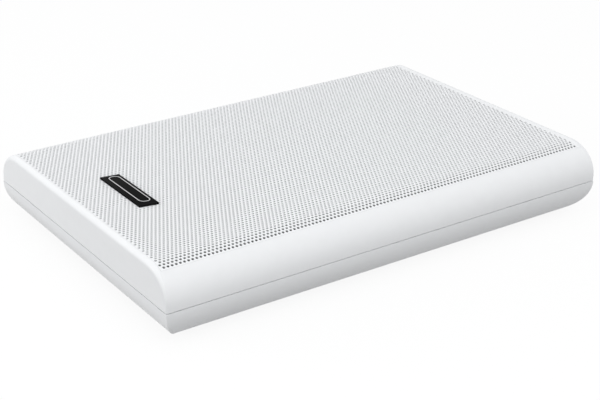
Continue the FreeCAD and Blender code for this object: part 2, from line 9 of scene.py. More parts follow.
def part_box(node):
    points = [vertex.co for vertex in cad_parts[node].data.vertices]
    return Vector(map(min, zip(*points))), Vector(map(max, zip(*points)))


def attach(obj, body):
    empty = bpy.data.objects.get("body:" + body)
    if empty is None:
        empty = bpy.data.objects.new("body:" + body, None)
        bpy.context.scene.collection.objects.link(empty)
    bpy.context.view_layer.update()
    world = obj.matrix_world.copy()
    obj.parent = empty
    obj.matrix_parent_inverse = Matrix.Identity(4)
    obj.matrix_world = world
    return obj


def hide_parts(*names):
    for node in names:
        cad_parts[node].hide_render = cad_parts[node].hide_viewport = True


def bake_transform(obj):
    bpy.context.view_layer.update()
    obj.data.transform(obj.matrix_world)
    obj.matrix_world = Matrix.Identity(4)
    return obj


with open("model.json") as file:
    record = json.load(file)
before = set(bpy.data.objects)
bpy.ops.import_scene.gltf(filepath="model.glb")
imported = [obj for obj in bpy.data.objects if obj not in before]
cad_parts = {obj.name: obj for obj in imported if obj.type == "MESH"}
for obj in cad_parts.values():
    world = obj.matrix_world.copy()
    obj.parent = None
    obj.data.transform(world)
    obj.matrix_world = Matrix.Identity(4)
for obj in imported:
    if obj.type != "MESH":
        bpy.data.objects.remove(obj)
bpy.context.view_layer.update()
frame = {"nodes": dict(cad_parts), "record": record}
slots = {entry["node"]: entry["material_slot"] for entry in frame["record"]["subparts"]}

MM = 0.001

# Grille sheet, bent as in the part's source, and its holes
FLAT_HALF_X = 79.0 * MM
SIDE_RADIUS = 19.0 * MM
SHEET = 0.66 * MM  # thicker than in the source, so that the holes darken it as in the photograph
FIT = 0.1 * MM  # small gap or overlap between two pieces
HOLE_RADIUS = 0.81 * MM
HOLE_PITCH = 2.4335 * MM
ROWS = 84
COLUMNS = 119
ROW_REACH = 86.9 * MM  # from the middle to the outer rows, along the bent sheet
FIRST_HOLE = -145.6 * MM
SIDES = 8  # corners of each hole
CLOTH = 0.4 * MM
CLOTH_STEPS = (60, 40)  # across and along

# Badge
BADGE_SLANT = 1.7 * MM  # how far its upper edge stands to the right of its lower edge
BADGE_WIDTH = 46.0 * MM
BADGE_CORNER = 0.35 * MM
BADGE_BEVEL = 0.15 * MM
LINE_LOW_INSET = 3.2 * MM  # from the plate's edges to the silver line on it
LINE_HIGH_INSET = 1.7 * MM
LINE_LEFT_INSET = 2.0 * MM
LINE_RIGHT_INSET = 4.4 * MM
LINE_WIDTH = 0.45 * MM
LINE_HEIGHT = 0.08 * MM
LINE_CORNER = 3.0 * MM

# Screws
HEAD_RADIUS = 3.5 * MM
HEAD_HEIGHT = 2.2 * MM
HEAD_EDGE = 0.25  # radius of a head's round edge, as a share of the head's radius
SHANK_RADIUS = 1.75 * MM
CROSS_REACH = 2.1 * MM
CROSS_HALF_WIDTH = 0.5 * MM
CROSS_TAPER = 0.6  # size of the cross at its bottom, as a share of that at its top
CROSS_DEPTH = 1.3 * MM
CLAMP_HEAD_RADIUS = 2.6 * MM
CLAMP_HEAD_HEIGHT = 1.6 * MM
CLAMP_SHANK_RADIUS = 1.4 * MM
SLOT_HALF_WIDTH = 0.4 * MM
SLOT_DEPTH = 0.9 * MM
THREAD_PITCH = 1.25 * MM
THREAD_CORE = 0.8  # as a share of the shank's radius
THREAD_SHAPE = ((0, False), (0.25, True), (0.35, True), (0.6, False))  # share of the pitch, on a ridge

# Terminal
BLOCK_CORNER = 1.0 * MM
BLOCK_BEVEL = 0.6 * MM
ENTRY_RADIUS = 2.0 * MM
ENTRY_FLARE = 0.7 * MM
CLAMP_X = 8.0 * MM
LUG_HALF_SIZE = (2.5 * MM, 0.4 * MM)
MARK_X = 16.5 * MM
MARK_REACH = 1.7 * MM
MARK_HALF_WIDTH = 0.4 * MM
MARK_HEIGHT = 0.25 * MM

# Roundness
ROUND_STEPS = 96  # around the driver's pieces
SCREW_STEPS = 32  # around screws and their holes
ARC_STEPS = 3  # along a small round edge
CORNER_STEPS = 6  # around a round corner
CURVE_STEPS = 12  # along the whizzer cone and the dust cap
ROLL_STEPS = 24  # along the surround's roll, and along each wave of the spider
RIB_STEPS = 4  # on each side of a rib's top
WIRE_STEPS = 12  # along each part of a wire
WIRE_ROUNDNESS = 4
WIRE_WELD = 0.001  # points closer than this share of a wire's radius are joined

# Degrees between two faces above which the edge between them stays sharp
PIECE_ANGLE = 35
SHEET_ANGLE = 40
ROUND_ANGLE = 50
ROLL_ANGLE = 60

# Driver
DRIVER_Y = 28.0 * MM
COIL_INNER = 12.55 * MM
FORMER = 0.2 * MM
WINDING_FOOT = 0.3 * MM
WINDING_TURNS = 16
WINDING_PITCH = 0.5 * MM
WINDING_SHAPE = ((0, 0.6), (0.2, 0.9), (0.5, 1.0), (0.8, 0.9))  # share of a turn, and of the wire's thickness
PAPER = 0.6 * MM
WHIZZER_FLARE = 0.9
CONE_LAND = 3.0 * MM
CONE_RIBS = (29.0 * MM, 34.0 * MM, 39.0 * MM)
RIB_HALF_WIDTH = 1.0 * MM
RIB_HEIGHT = 0.35 * MM
RUBBER = 0.5 * MM
CONE_RADIUS = 48.4 * MM
ROLL_OUTER = 54.8 * MM
SPIDER_SHEET = 0.5 * MM
SPIDER_LAND = 34.7 * MM
SPIDER_WAVES = 4
SPIDER_WAVE_SHARE = 0.8  # height of the waves, as a share of the room for them
SPIDER_FADE = 6  # the waves fade out over the first and the last sixth of the way
GASKET_INNER = 58.1 * MM
PLATE_BORE = 13.55 * MM
MAGNET_BORE = 16.0 * MM
POLE_RADIUS = 12.15 * MM
BACK_PLATE = 3.5 * MM
PLATE_BEVEL = 0.4 * MM
MAGNET_BEVEL = 0.8 * MM

# Leads and wires
LEAD_RADIUS = 0.5 * MM
LEAD_ROUND = 0.45 * MM  # radius as drawn, a little less than in the source
WIRE_RADIUS = 0.9 * MM
WIRE_SPREAD = 9.0 * MM
WIRE_LEAD = 14.0 * MM

# Camera, worked out from the photograph's edges
CAMERA_PLACE = (0.60511, -0.44175, 0.35804)
CAMERA_RIGHT = (0.527654, 0.849402, -0.009854)
CAMERA_DOWN = (0.354045, -0.230451, -0.906390)
CAMERA_FORWARD = (-0.772161, 0.474772, -0.422325)
CAMERA_LENS = 80.75
CAMERA_SHIFT_X = 0.1676
CAMERA_SHIFT_Y = -0.0007
CAMERA_CLIP = 0.01

# Materials
GRAIN_DEPTH = 0.05 * MM
GRAIN_GLOSS = (0.85, 1.15)  # range of the roughness, as a share of it
BROAD_GRAIN = 40  # how much broader the grain of a colour is than that of its surface
WAVE_PERIOD = 0.314  # of a Wave texture at scale 1
WEAVE_WANDER = 0.4  # how far threads leave a straight line
WEAVE_PAINTED_SHADE = 0.4  # painted shade: brightness between the threads, as a share of theirs
WEAVE_RELIEF = 0.5
WEAVE_SHEEN = 0.2
BRUSH_SCALE = 900  # waves per metre
BRUSH_DETAIL = 3
BRUSH_SHADE = 0.85
BRUSH_GLOSS = (0.8, 1.25)  # range of the roughness, as a share of it
BRUSH_RELIEF = 0.1
BRUSH_DEPTH = 0.02 * MM

# Studio
FLOOR_HALF = 4.0
FLOOR_COLOUR = (0.34, 0.34, 0.34)
FLOOR_FIBRE = 400  # waves per metre
FLOOR_SHADE = 0.98  # brightness of its darker fibres, as a share of the others'
FLOOR_ROUGHNESS = 0.9
PAPER_COLOUR = (0.97, 0.97, 0.97)
PAPER_GLOW = 0.9
SKY = (0.985, 0.99, 1.0)
SKY_STRENGTH = 0.69
LAMPS = (  # name, place, aim, width and height, watts
    ("overhead", (0.5, -0.3, 1.5), (0, 0, 0), (1.6, 1.6), 6.8),
    ("near_side", (1.2, -0.2, 1.0), (0, 0, 0), (1.6, 1.6), 5.3),
    ("left_fill", (-0.55, -1.0, 0.3), (0, -0.15, 0.02), (0.5, 0.4), 3.4),
)

grille_low, grille_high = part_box("grille")
badge_low, badge_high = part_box("badge")
TOP_Z = grille_high.z
TURN_Z = TOP_Z - SIDE_RADIUS


# Shader nodes

def new_material(name):
    """A material with an empty Principled shader, its node tree and that shader."""
    material = bpy.data.materials.new(name)
    material.use_nodes = True
    tree = material.node_tree
    shader = tree.nodes["Principled BSDF"]
    return material, tree, shader


def place_texture(tree):
    return tree.nodes.new("ShaderNodeTexCoord").outputs["Object"]


def noise(tree, scale, detail=2.0, stretch=None):
    """Noise over the object's own coordinates, in waves per metre."""
    place = place_texture(tree)
    if stretch:
        mapping = tree.nodes.new("ShaderNodeMapping")
        mapping.inputs["Scale"].default_value = stretch
        tree.links.new(place, mapping.inputs["Vector"])
        place = mapping.outputs["Vector"]
    texture = tree.nodes.new("ShaderNodeTexNoise")
    texture.inputs["Scale"].default_value = scale
    texture.inputs["Detail"].default_value = detail
    tree.links.new(place, texture.inputs["Vector"])
    return texture.outputs["Fac"]


def ramp(tree, factor, low, high, start=0.3, end=0.7):
    """Colours from low to high as the factor goes from start to end."""
    node = tree.nodes.new("ShaderNodeValToRGB")
    node.color_ramp.elements[0].position = start
    node.color_ramp.elements[0].color = (*low, 1)
    node.color_ramp.elements[1].position = end
    node.color_ramp.elements[1].color = (*high, 1)
    tree.links.new(factor, node.inputs["Fac"])
    return node.outputs["Color"]


def value_range(tree, factor, low, high):
    node = tree.nodes.new("ShaderNodeMapRange")
    node.inputs["To Min"].default_value = low
    node.inputs["To Max"].default_value = high
    tree.links.new(factor, node.inputs["Value"])
    return node.outputs["Result"]


def bump(tree, shader, height, strength, distance):
    node = tree.nodes.new("ShaderNodeBump")
    node.inputs["Strength"].default_value = strength
    node.inputs["Distance"].default_value = distance
    tree.links.new(height, node.inputs["Height"])
    tree.links.new(node.outputs["Normal"], shader.inputs["Normal"])


def shade(colour, share):
    return tuple(channel * share for channel in colour)


def mottled(name, colour, roughness, grain, contrast, relief=0.15, specular=0.5):
    """A surface with fine grain: small changes of colour, gloss and height."""
    material, tree, shader = new_material(name)
    fine = noise(tree, grain)
    broad = noise(tree, grain / BROAD_GRAIN)
    tree.links.new(ramp(tree, broad, shade(colour, contrast), colour), shader.inputs["Base Color"])
    low, high = GRAIN_GLOSS
    tree.links.new(value_range(tree, fine, roughness * low, roughness * high), shader.inputs["Roughness"])
    shader.inputs["Specular IOR Level"].default_value = specular
    bump(tree, shader, fine, relief, GRAIN_DEPTH)
    return material


def woven(name, colour, pitch, roughness=0.9, metallic=0.0):
    """Plain weave: two crossed sets of threads, with painted shade between them."""
    material, tree, shader = new_material(name)
    place = place_texture(tree)
    waves = []
    for direction in ("X", "Y"):
        wave = tree.nodes.new("ShaderNodeTexWave")
        wave.bands_direction = direction
        wave.inputs["Scale"].default_value = WAVE_PERIOD / pitch
        wave.inputs["Distortion"].default_value = WEAVE_WANDER
        tree.links.new(place, wave.inputs["Vector"])
        waves.append(wave.outputs["Fac"])
    threads = tree.nodes.new("ShaderNodeMath")
    threads.operation = "MAXIMUM"
    tree.links.new(waves[0], threads.inputs[0])
    tree.links.new(waves[1], threads.inputs[1])
    height = threads.outputs["Value"]
    # the colour darkens between the threads: painted shade
    tree.links.new(ramp(tree, height, shade(colour, WEAVE_PAINTED_SHADE), colour), shader.inputs["Base Color"])
    shader.inputs["Roughness"].default_value = roughness
    shader.inputs["Metallic"].default_value = metallic
    shader.inputs["Sheen Weight"].default_value = WEAVE_SHEEN
    bump(tree, shader, height, WEAVE_RELIEF, pitch / 4)
    return material


def brushed(name, colour, roughness, stretch):
    """Metal with fine marks along one direction."""
    material, tree, shader = new_material(name)
    marks = noise(tree, BRUSH_SCALE, BRUSH_DETAIL, stretch)
    tree.links.new(ramp(tree, marks, shade(colour, BRUSH_SHADE), colour), shader.inputs["Base Color"])
    low, high = BRUSH_GLOSS
    tree.links.new(value_range(tree, marks, roughness * low, roughness * high), shader.inputs["Roughness"])
    shader.inputs["Metallic"].default_value = 1.0
    bump(tree, shader, marks, BRUSH_RELIEF, BRUSH_DEPTH)
    return material


# Mesh helpers

def smooth(piece, angle):
    piece.data.shade_smooth()
    piece.data.set_sharp_from_angle(angle=math.radians(angle))


def make_object(name, vertices, faces, material, smooth_angle=None):
    mesh = bpy.data.meshes.new(name)
    mesh.from_pydata(vertices, [], faces)
    mesh.update()
    mesh.materials.append(material)
    piece = bpy.data.objects.new(name, mesh)
    bpy.context.scene.collection.objects.link(piece)
    if smooth_angle is not None:
        smooth(piece, smooth_angle)
    return piece


def on_sheet(across, along, depth):
    """Point of the bent sheet, at a distance across it and a depth under its face."""
    side = math.copysign(1, across)
    beyond = abs(across) - FLAT_HALF_X
    if beyond <= 0:
        return (across, along, TOP_Z - depth)
    turn = beyond / SIDE_RADIUS
    reach = SIDE_RADIUS - depth
    return (side * (FLAT_HALF_X + reach * math.sin(turn)), along, TURN_Z + reach * math.cos(turn))


# Perforated grille

def hole_rows():
    """Middles of the holes, as (across, [along, ...]); every second row is half a pitch further on."""
    row_pitch = 2 * ROW_REACH / (ROWS - 1)
    rows = []
    for row in range(ROWS):
        first = FIRST_HOLE + HOLE_PITCH / 2 * (row % 2)
        places = [first + HOLE_PITCH * number for number in range(COLUMNS)]
        rows.append((row_pitch * row - ROW_REACH, places))
    return rows


class Sheet:
    """The flat pattern of the perforated sheet: points, faces between the holes, and its border.

    A hole's corners are numbered clockwise, and its corners 7 and 0 face the next hole of its row.
    """

    def __init__(self, half_across, half_along):
        self.half_across = half_across
        self.half_along = half_along
        self.rows = hole_rows()
        self.points = []
        self.first = {}
        self.faces = []  # (row, corners)
        self.lay_holes()
        self.lay_border()
        self.join_holes()
        self.join_sides()
        self.join_ends()

    def add_point(self, across, along):
        self.points.append((across, along))
        return len(self.points) - 1

    def lay_holes(self):
        for row, (across, places) in enumerate(self.rows):
            for number, along in enumerate(places):
                self.first[row, number] = len(self.points)
                for corner in range(SIDES):
                    turn = 2 * math.pi * (corner + 0.5) / SIDES
                    aside, ahead = HOLE_RADIUS * math.sin(turn), HOLE_RADIUS * math.cos(turn)
                    self.add_point(across + aside, along + ahead)

    def lay_border(self):
        wide, long = self.half_across, self.half_along
        self.left = [self.add_point(-wide, along) for along in self.rows[0][1]]
        self.right = [self.add_point(wide, along) for along in self.rows[-1][1]]
        self.low = [self.add_point(across, -long) for across, places in self.rows]
        self.high = [self.add_point(across, long) for across, places in self.rows]
        places = ((-wide, -long), (wide, -long), (wide, long), (-wide, long))
        self.corners = [self.add_point(*place) for place in places]
        self.left_side = {self.corners[0], self.corners[3], *self.left}
        self.right_side = {self.corners[1], self.corners[2], *self.right}

    def corner(self, hole, number):
        return self.first[hole] + number

    def face(self, row, *corners):
        """A face from border points, as plain numbers, and (hole, corner) pairs."""
        self.faces.append((row, [c if isinstance(c, int) else self.corner(*c) for c in corners]))

    def join_holes(self):
        for (row, number) in self.first:
            here, after = (row, number), (row, number + 1)
            upper = row % 2
            above_right, below_right = (row + 1, number + upper), (row + 1, number - 1 + upper)
            above_left = (row - 1, number + upper)
            if after in self.first:
                self.face(row, (here, 7), (here, 0), (after, 3), (after, 4))
                if above_right in self.first:
                    self.face(row + 1, (here, 0), (above_right, 5), (above_right, 6), (after, 3))
                if above_left in self.first:
                    self.face(row, (here, 7), (after, 4), (above_left, 1), (above_left, 2))
            if above_right in self.first:
                self.face(row + 1, (here, 0), (here, 1), (above_right, 4), (above_right, 5))
            if below_right in self.first:
                self.face(row + 1, (here, 3), (below_right, 6), (below_right, 7), (here, 2))

    def join_sides(self):
        end = ROWS - 1
        for number in range(COLUMNS):
            near, far = (0, number), (end, number)
            self.face(0, self.left[number], (near, 5), (near, 6))
            self.face(end, self.right[number], (far, 1), (far, 2))
        for number in range(COLUMNS - 1):
            near, near_after = (0, number), (0, number + 1)
            far, far_after = (end, number), (end, number + 1)
            self.face(
                0, self.left[number], (near, 6), (near, 7),
                (near_after, 4), (near_after, 5), self.left[number + 1],
            )
            self.face(
                end, self.right[number], self.right[number + 1],
                (far_after, 2), (far_after, 3), (far, 0), (far, 1),
            )

    def join_ends(self):
        end, far = ROWS - 1, COLUMNS - 1
        for row in range(ROWS):
            self.face(row, self.low[row], ((row, 0), 3), ((row, 0), 4))
            self.face(row, self.high[row], ((row, far), 7), ((row, far), 0))
        for row in range(end):
            here, after = (row, 0), (row + 1, 0)
            top, top_after = (row, far), (row + 1, far)
            low, low_after = self.low[row], self.low[row + 1]
            high, high_after = self.high[row], self.high[row + 1]
            if row % 2 == 0:
                self.face(row + 1, low, low_after, (after, 4), (here, 1), (here, 2), (here, 3))
                self.face(row + 1, (top, 0), (top_after, 5), (top_after, 6), (top_after, 7), high_after, high)
            else:
                self.face(row + 1, low, low_after, (after, 4), (after, 5), (after, 6), (here, 3))
                self.face(row + 1, (top, 0), (top, 1), (top, 2), (top_after, 7), high_after, high)
        self.face(0, self.corners[0], self.low[0], ((0, 0), 4), ((0, 0), 5), self.left[0])
        self.face(end, self.low[end], self.corners[1], self.right[0], ((end, 0), 2), ((end, 0), 3))
        self.face(0, self.left[far], ((0, far), 6), ((0, far), 7), self.high[0], self.corners[3])
        self.face(end, ((end, far), 0), ((end, far), 1), self.right[far], self.corners[2], self.high[end])


def close_holes_under_badge(sheet):
    for (row, number), first in sheet.first.items():
        across, places = sheet.rows[row]
        inside_x = badge_low.x < across < badge_high.x
        inside_y = badge_low.y < places[number] < badge_high.y
        if inside_x and inside_y:
            sheet.faces.append((row, [first + corner for corner in range(SIDES)][::-1]))


def grille_half(name, sheet, faces, material):
    """Closed solid of some of the sheet's faces: face, back, hole walls, and a skirt down each long side."""
    inner_x = grille_high.x - SHEET
    inner_z = TURN_Z + math.sqrt((SIDE_RADIUS - SHEET) ** 2 - (inner_x - FLAT_HALF_X) ** 2)
    long_sides = sheet.left_side | sheet.right_side
    points, index = [], {}

    def put(key, place):
        if key not in index:
            index[key] = len(points)
            points.append(place)
        return index[key]

    def face_point(number):
        return put(("face", number), on_sheet(*sheet.points[number], 0))

    def back_point(number):
        x, y, z = on_sheet(*sheet.points[number], SHEET)
        if number in long_sides:
            x, z = math.copysign(inner_x, x), inner_z
        return put(("back", number), (x, y, z))

    def outer_foot(number):
        x, y, z = on_sheet(*sheet.points[number], 0)
        return put(("outer", number), (x, y, grille_low.z))

    def inner_foot(number):
        x, y, z = on_sheet(*sheet.points[number], 0)
        return put(("inner", number), (math.copysign(inner_x, x), y, grille_low.z))

    skirt = [face_point, outer_foot, inner_foot, back_point]
    polygons = []
    edges = set()
    for corners in faces:
        polygons.append([face_point(number) for number in corners])
        polygons.append([back_point(number) for number in corners][::-1])
        edges.update(zip(corners, corners[1:] + corners[:1]))
    for start, end in edges:
        if (end, start) in edges:
            continue
        if {start, end} <= sheet.left_side or {start, end} <= sheet.right_side:
            for upper, lower in zip(skirt, skirt[1:]):
                polygons.append([upper(end), upper(start), lower(start), lower(end)])
        else:
            polygons.append([face_point(end), face_point(start), back_point(start), back_point(end)])
    for number, corner in enumerate(sheet.corners):
        if ("face", corner) in index:
            cap = [place(corner) for place in skirt]
            polygons.append(cap if number in (0, 2) else cap[::-1])
    return make_object(name, points, polygons, material, SHEET_ANGLE)


def make_grille(material):
    """The real perforated sheet, in two halves that meet along a row of holes."""
    edge_turn = math.asin((grille_high.x - FLAT_HALF_X) / SIDE_RADIUS)
    sheet = Sheet(FLAT_HALF_X + SIDE_RADIUS * edge_turn, grille_high.y)
    close_holes_under_badge(sheet)
    middle = ROWS // 2
    left = [corners for row, corners in sheet.faces if row <= middle]
    right = [corners for row, corners in sheet.faces if row > middle]
    halves = [
        grille_half("grille_left_half", sheet, left, material),
        grille_half("grille_right_half", sheet, right, material),
    ]
    for half in halves:
        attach(half, "case")
        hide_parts("grille")
    return halves


# Cloth behind the grille

def make_cloth(material):
    low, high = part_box("grille_cloth")
    top_inset = SHEET + FIT
    edge_turn = math.asin((high.x - FLAT_HALF_X) / (SIDE_RADIUS - top_inset))
    half_across = FLAT_HALF_X + SIDE_RADIUS * edge_turn
    across_steps, along_steps = CLOTH_STEPS
    points, polygons = [], []
    for depth in (top_inset, top_inset + CLOTH):
        for a in range(across_steps + 1):
            for b in range(along_steps + 1):
                across = half_across * (2 * a / across_steps - 1)
                along = high.y * (2 * b / along_steps - 1)
                points.append(on_sheet(across, along, depth))
    width = along_steps + 1
    layer = (across_steps + 1) * width

    def point(a, b, lower):
        return a * width + b + lower * layer

    for a in range(across_steps):
        for b in range(along_steps):
            polygons.append([point(a, b, 0), point(a + 1, b, 0), point(a + 1, b + 1, 0), point(a, b + 1, 0)])
            polygons.append([point(a, b, 1), point(a, b + 1, 1), point(a + 1, b + 1, 1), point(a + 1, b, 1)])
    for a in range(across_steps):
        polygons.append([point(a, 0, 1), point(a + 1, 0, 1), point(a + 1, 0, 0), point(a, 0, 0)])
        end = along_steps
        polygons.append([point(a + 1, end, 1), point(a, end, 1), point(a, end, 0), point(a + 1, end, 0)])
    for b in range(along_steps):
        polygons.append([point(0, b + 1, 1), point(0, b, 1), point(0, b, 0), point(0, b + 1, 0)])
        end = across_steps
        polygons.append([point(end, b, 1), point(end, b + 1, 1), point(end, b + 1, 0), point(end, b, 0)])
    cloth = make_object("grille_cloth_sheet", points, polygons, material, SHEET_ANGLE)
    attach(cloth, "case")
    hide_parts("grille_cloth")


# Solids

def rounded_outline(half_x, half_y, radius):
    """Points of a rounded rectangle, counter-clockwise."""
    points = []
    for number, (sx, sy) in enumerate(((1, 1), (-1, 1), (-1, -1), (1, -1))):
        for step in range(CORNER_STEPS + 1):
            turn = math.pi / 2 * (number + step / CORNER_STEPS)
            points.append((
                sx * (half_x - radius) + radius * math.cos(turn),
                sy * (half_y - radius) + radius * math.sin(turn),
            ))
    return points


def cross_outline(reach, half_width):
    """Corners of a cross, counter-clockwise."""
    points = []
    for x, y in ((1, 0), (0, 1), (-1, 0), (0, -1)):
        for along, aside in ((reach, -half_width), (reach, half_width), (half_width, half_width)):
            points.append((x * along - y * aside, y * along + x * aside))
    return points


def bar_outline(half_x, half_y):
    return [(half_x, -half_y), (half_x, half_y), (-half_x, half_y), (-half_x, -half_y)]


def level(outline, z, x, y):
    """The points of an outline at a height, about a middle."""
    return [(x + across, y + along, z) for across, along in outline]


def stacked(rings, closed_ends=True):
    """Vertices and faces of a solid through rings of points with equal counts."""
    count = len(rings[0])
    vertices = [point for ring in rings for point in ring]
    faces = []
    for number in range(len(rings) - 1):
        start = number * count
        for corner in range(count):
            after = (corner + 1) % count
            faces.append([start + corner, start + after, start + count + after, start + count + corner])
    top = (len(rings) - 1) * count
    if closed_ends:
        faces.append(list(range(count))[::-1])
        faces.append([top + corner for corner in range(count)])
    else:
        for corner in range(count):
            after = (corner + 1) % count
            faces.append([top + corner, top + after, after, corner])
    return vertices, faces


def turned(profile, x=0.0, y=DRIVER_Y, steps=ROUND_STEPS):
    """Solid about an upright axis, from a closed counter-clockwise outline of (radius, height) points."""
    vertices, rings = [], []
    for radius, height in profile:
        first = len(vertices)
        if radius == 0:
            rings.append([first] * steps)
            vertices.append((x, y, height))
            continue
        rings.append(list(range(first, first + steps)))
        for step in range(steps):
            turn = 2 * math.pi * step / steps
            vertices.append((x + radius * math.cos(turn), y + radius * math.sin(turn), height))
    faces = []
    for lower, upper in zip(rings, rings[1:] + rings[:1]):
        for step in range(steps):
            after = (step + 1) % steps
            corners = list(dict.fromkeys((lower[step], lower[after], upper[after], upper[step])))
            if len(corners) > 2:
                faces.append(corners)
    return vertices, faces


def skin(upper, thickness):
    """Closed outline of a sheet under a line of (radius, height) points that runs outwards."""
    return [(radius, height - thickness) for radius, height in upper] + upper[::-1]


def carve(piece, vertices, faces):
    """Cuts a solid out of a piece."""
    cutter = make_object("cutter", vertices, faces, piece.data.materials[0])
    change = piece.modifiers.new("carve", "BOOLEAN")
    change.operation = "DIFFERENCE"
    change.solver = "EXACT"
    change.object = cutter
    bpy.context.view_layer.update()
    graph = bpy.context.evaluated_depsgraph_get()
    mesh = bpy.data.meshes.new_from_object(piece.evaluated_get(graph))
    piece.modifiers.clear()
    piece.data = mesh
    bpy.data.objects.remove(cutter)


def stand_for(piece, node, body="case"):
    """The piece takes a node's place and its body."""
    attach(piece, body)
    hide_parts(node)


# Badge

def make_badge(black, silver):
    middle = (badge_low + badge_high) / 2
    half_y = (badge_high.y - badge_low.y) / 2
    half_x = BADGE_WIDTH / 2
    face_z = badge_high.z - LINE_HEIGHT

    def slanted(outline, z, shift_x=0.0, shift_y=0.0):
        lean = BADGE_SLANT / (2 * half_y)
        points = [(x + shift_x, y + shift_y) for x, y in outline]
        return [(middle.x + x + lean * y, middle.y + y, z) for x, y in points]

    def ring(inset, z):
        return slanted(rounded_outline(half_x - inset, half_y - inset, BADGE_CORNER - inset), z)

    levels = [(0, badge_low.z), (0, face_z - BADGE_BEVEL)]
    for step in range(1, ARC_STEPS + 1):
        turn = math.pi / 2 * step / ARC_STEPS
        levels.append((BADGE_BEVEL * (1 - math.cos(turn)), face_z - BADGE_BEVEL * (1 - math.sin(turn))))
    plate = make_object("badge_plate", *stacked([ring(*step) for step in levels]), black, ROUND_ANGLE)
    stand_for(plate, "badge")

    def line_ring(inset, z):
        half_wide = half_x - (LINE_LEFT_INSET + LINE_RIGHT_INSET) / 2
        half_tall = half_y - (LINE_LOW_INSET + LINE_HIGH_INSET) / 2
        outline = rounded_outline(half_wide - inset, half_tall - inset, LINE_CORNER - inset)
        shift_x = (LINE_LEFT_INSET - LINE_RIGHT_INSET) / 2
        return slanted(outline, z, shift_x, (LINE_LOW_INSET - LINE_HIGH_INSET) / 2)

    sunk = face_z - LINE_HEIGHT
    rings = [
        line_ring(0, sunk), line_ring(LINE_WIDTH, sunk),
        line_ring(LINE_WIDTH, badge_high.z), line_ring(0, badge_high.z),
    ]
    vertices, faces = stacked(rings, closed_ends=False)
    outline = make_object("badge_outline", vertices, [face[::-1] for face in faces], silver)
    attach(outline, "case")


# Screws

def screw_outline(head_radius, bottom, head_top, shank_radius, tip):
    """Outline of a screw whose head points down: a domed head, and a shank with thread ridges."""
    edge = head_radius * HEAD_EDGE
    outline = [(0, bottom)]
    for step in range(ARC_STEPS + 1):
        turn = math.pi / 2 * step / ARC_STEPS
        outline.append((head_radius - edge * (1 - math.sin(turn)), bottom + edge * (1 - math.cos(turn))))
    core = shank_radius * THREAD_CORE
    outline += [(head_radius, head_top), (core, head_top)]
    height = head_top + THREAD_PITCH / 2
    while height + THREAD_PITCH < tip:
        for share, ridge in THREAD_SHAPE:
            outline.append((shank_radius if ridge else core, height + THREAD_PITCH * share))
        height += THREAD_PITCH
    return outline + [(core, tip - core / 2), (0, tip)]


def screw_places(node, head_radius):
    """Middles of a node's screws, to a tenth of a millimetre, so that equal ones count once."""
    low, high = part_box(node)
    across = {round(low.x + head_radius, 4), round(high.x - head_radius, 4)}
    along = {round(low.y + head_radius, 4), round(high.y - head_radius, 4)}
    return [(x, y) for x in sorted(across) for y in sorted(along)]


def make_screws(node, head_radius, head_height, shank_radius, recess, material):
    """The screws of a node. The recess in each head runs between two outlines at their depths."""
    low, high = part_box(node)
    outline = screw_outline(head_radius, low.z, low.z + head_height, shank_radius, high.z)
    for number, (x, y) in enumerate(screw_places(node, head_radius)):
        screw = make_object("%s_%d" % (node, number), *turned(outline, x, y, SCREW_STEPS), material)
        carve(screw, *stacked([level(shape, low.z + depth, x, y) for shape, depth in recess]))
        smooth(screw, PIECE_ANGLE)
        stand_for(screw, node)


def make_cross_screws(node, material):
    wide = cross_outline(CROSS_REACH, CROSS_HALF_WIDTH)
    narrow = cross_outline(CROSS_REACH * CROSS_TAPER, CROSS_HALF_WIDTH * CROSS_TAPER)
    recess = ((wide, -FIT), (narrow, CROSS_DEPTH))
    make_screws(node, HEAD_RADIUS, HEAD_HEIGHT, SHANK_RADIUS, recess, material)


def make_clamp_screws(node, material):
    slot = bar_outline(2 * CLAMP_HEAD_RADIUS, SLOT_HALF_WIDTH)
    recess = ((slot, -FIT), (slot, SLOT_DEPTH))
    make_screws(node, CLAMP_HEAD_RADIUS, CLAMP_HEAD_HEIGHT, CLAMP_SHANK_RADIUS, recess, material)


# Terminal

def terminal_cuts(low, high):
    """Solids that the wire entries, the wells of the screws, the slits of the lugs and a groove take away."""
    middle = (low + high) / 2
    half = (high - low) / 2
    mouth = [
        (0, -FIT), (ENTRY_RADIUS + ENTRY_FLARE, -FIT), (ENTRY_RADIUS + ENTRY_FLARE, 0),
        (ENTRY_RADIUS, ENTRY_FLARE), (ENTRY_RADIUS, half.y), (0, half.y),
    ]
    entry, entry_faces = turned(mouth, 0, 0, SCREW_STEPS)
    screw_low, screw_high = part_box("terminal_screws")
    screw_y = (screw_low.y + screw_high.y) / 2
    well_radius = CLAMP_SHANK_RADIUS + FIT
    well = [(0, low.z - FIT), (well_radius, low.z - FIT), (well_radius, screw_high.z), (0, screw_high.z)]
    lug_low, lug_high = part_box("terminal_lugs")
    lug_y = (lug_low.y + lug_high.y) / 2
    lug = bar_outline(LUG_HALF_SIZE[0] + FIT, LUG_HALF_SIZE[1] + FIT)
    cuts = []
    for x in (-CLAMP_X, CLAMP_X):
        cuts.append(([(x + a, low.y + c, middle.z - b) for a, b, c in entry], entry_faces))
        cuts.append(turned(well, x, screw_y, SCREW_STEPS))
        cuts.append(stacked([level(lug, lug_low.z, x, lug_y), level(lug, high.z + FIT, x, lug_y)]))
    groove = bar_outline(MARK_HALF_WIDTH, 2 * half.y)
    depth = low.z + 2 * BLOCK_BEVEL
    cuts.append(stacked([level(groove, low.z - FIT, 0, middle.y), level(groove, depth, 0, middle.y)]))
    return cuts


